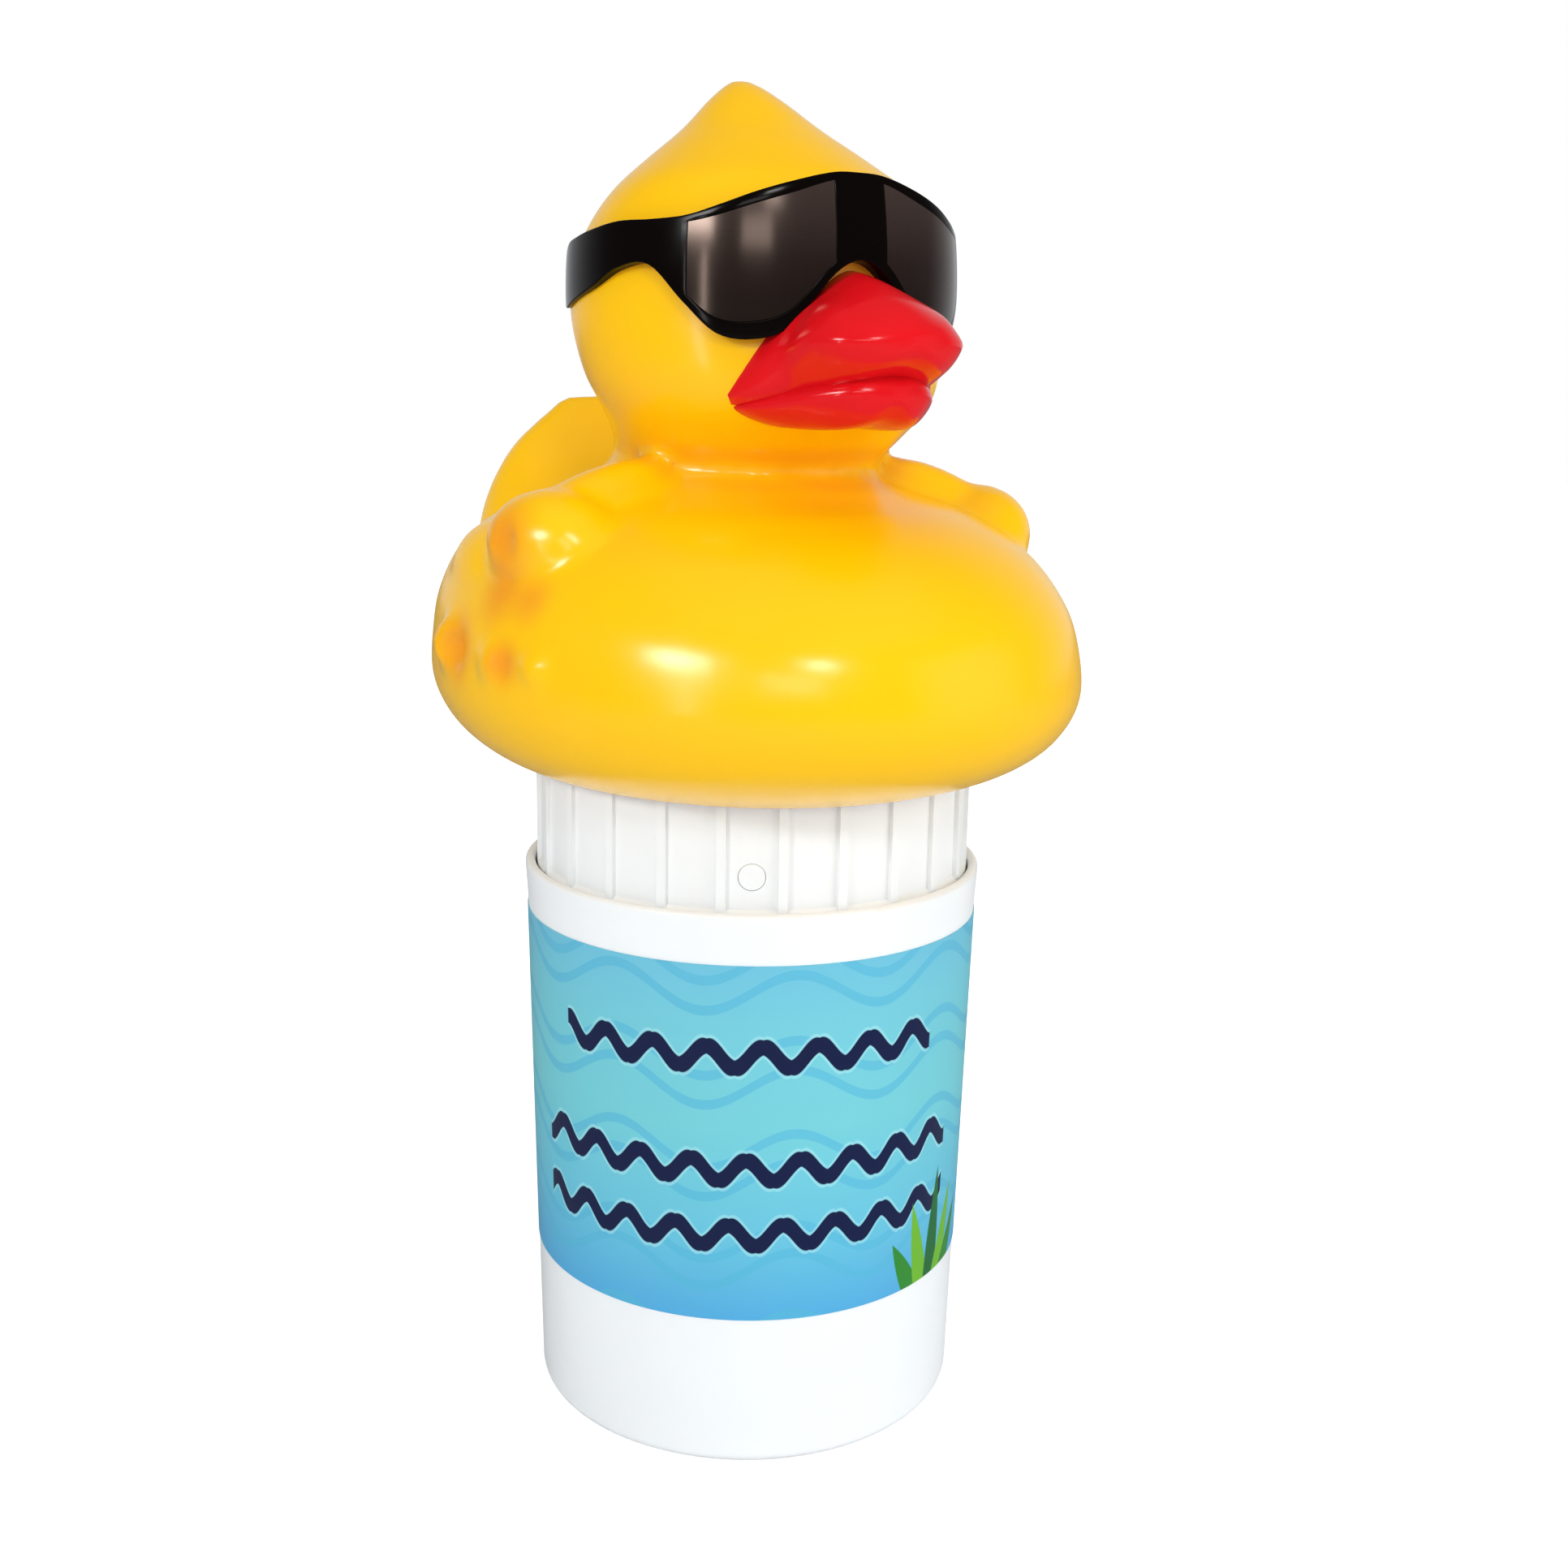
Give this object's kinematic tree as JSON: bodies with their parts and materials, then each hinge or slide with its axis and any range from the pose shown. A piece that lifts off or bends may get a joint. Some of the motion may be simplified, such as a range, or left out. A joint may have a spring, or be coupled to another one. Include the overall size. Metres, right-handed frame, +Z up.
{
  "type": "floating chlorine dispenser",
  "caption": "Floating pool chlorine dispenser: a toy duck in sunglasses above a labelled tablet canister with a twist-lock collar.",
  "frame": {"origin": "centre of the ring face that the canister stands on, on the canister's axis", "axes": "+Z up along the canister's axis, -Y the way the duck's bill points, -X the duck's right side"},
  "size_m": [0.158, 0.1827, 0.3246],
  "materials": {
    "yellow_vinyl": "glossy moulded vinyl",
    "red_gloss": "high gloss",
    "black_gloss": "high gloss",
    "smoked_lens": "high gloss smoked",
    "white_plastic": "satin moulded",
    "printed_label": "printed film, turquoise waves",
    "seal_rubber": "soft matt",
    "steel": "stainless"
  },
  "bodies": {
    "canister": {"canister": "white_plastic", "label": "printed_label", "dial_screw": "steel"},
    "vent_dial": {"vent_dial": "white_plastic"},
    "float": {"duck_shell": "yellow_vinyl", "bill": "red_gloss", "sunglasses_frame": "black_gloss", "lens_right": "smoked_lens", "lens_left": "smoked_lens", "glasses_pins": "steel", "base_plate": "white_plastic", "neck_washer": "seal_rubber", "neck_nut": "white_plastic", "air_plug": "white_plastic", "plug_seal": "seal_rubber"},
    "collar": {"collar": "white_plastic", "lock_guide": "white_plastic", "lock_spring": "steel"},
    "lock": {"lock_button": "white_plastic"}
  },
  "joints": [
    {"name": "float_lift", "type": "slide", "parent": "canister", "child": "float", "axis": [0, 0, 1], "range_m": [0, 0.12]},
    {"name": "collar_twist", "type": "hinge", "parent": "float", "child": "collar", "pos_m": [0, 0, 0.15], "axis": [0, 0, 1], "range_deg": [0, 60]},
    {"name": "lock_press", "type": "slide", "parent": "collar", "child": "lock", "axis": [0.4695, 0.8829, 0], "range_m": [0, 0.0025], "stiffness_N_per_m": 1500, "deforming": ["lock_spring"]},
    {"name": "vent_dial_turn", "type": "hinge", "parent": "canister", "child": "vent_dial", "pos_m": [0, 0, 0], "axis": [0, 0, 1], "range_deg": [0, 30]}
  ]
}
